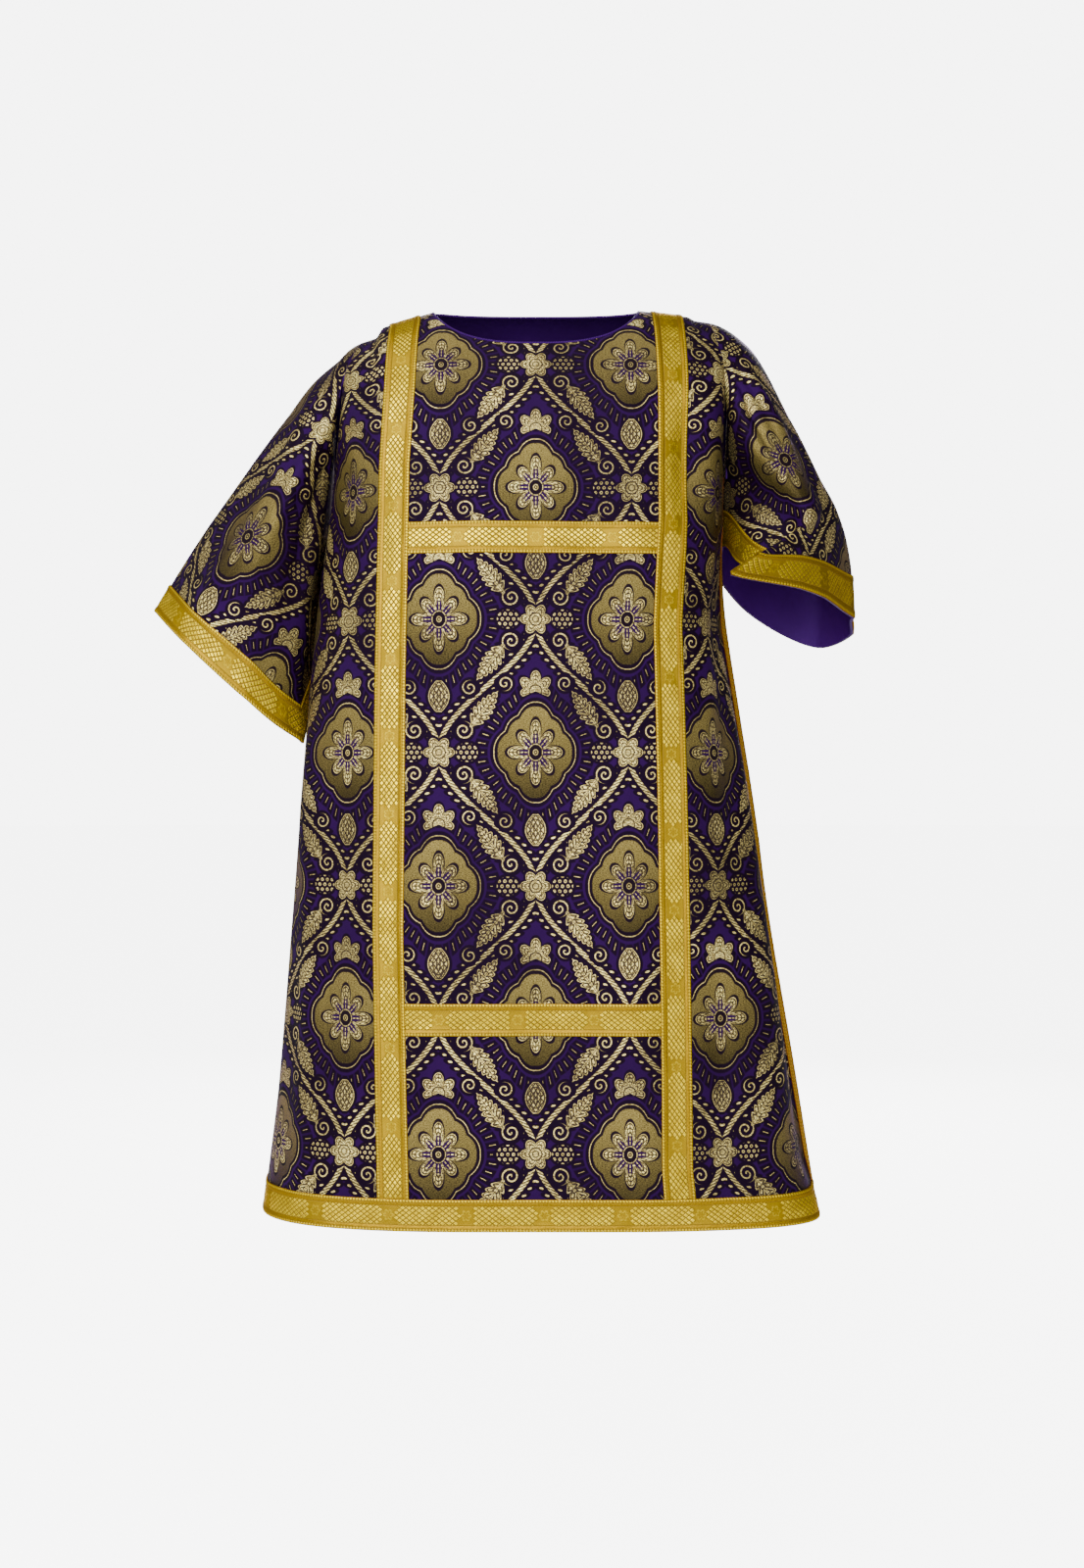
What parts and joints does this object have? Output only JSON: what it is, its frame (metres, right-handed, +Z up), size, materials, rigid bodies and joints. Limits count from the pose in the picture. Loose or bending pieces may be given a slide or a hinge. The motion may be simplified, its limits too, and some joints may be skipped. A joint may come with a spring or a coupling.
{
  "type": "dalmatic",
  "caption": "Worn liturgical tunic of violet figured brocade with wide sleeves, open sides and gold galloon bands, holding its hollow form.",
  "frame": {"origin": "middle of the neck opening, level with the neck ends of the shoulder seams, where the wearer's shoulders hold the garment up", "axes": "+Z up, towards the wearer's head; -Y to the wearer's front; +X to the wearer's left, which is the viewer's right"},
  "size_m": [0.8485, 0.3374, 1.0631],
  "materials": {
    "brocade": "violet satin brocade with metallic gold figures",
    "galloon": "woven metallic gold braid",
    "lining": "plain violet satin"
  },
  "bodies": {
    "root": {"front_panel": "brocade", "back_panel": "brocade", "sleeve_left": "brocade", "sleeve_right": "brocade", "clavus_left": "galloon", "clavus_right": "galloon", "front_bar_upper": "galloon", "front_bar_lower": "galloon", "hem_band_front": "galloon", "hem_band_back": "galloon", "side_braid_front_left": "galloon", "side_braid_front_right": "galloon", "side_braid_back_left": "galloon", "side_braid_back_right": "galloon", "cuff_band_left": "galloon", "cuff_band_right": "galloon", "neck_piping": "lining", "sleeve_lining_right": "lining"}
  },
  "joints": []
}
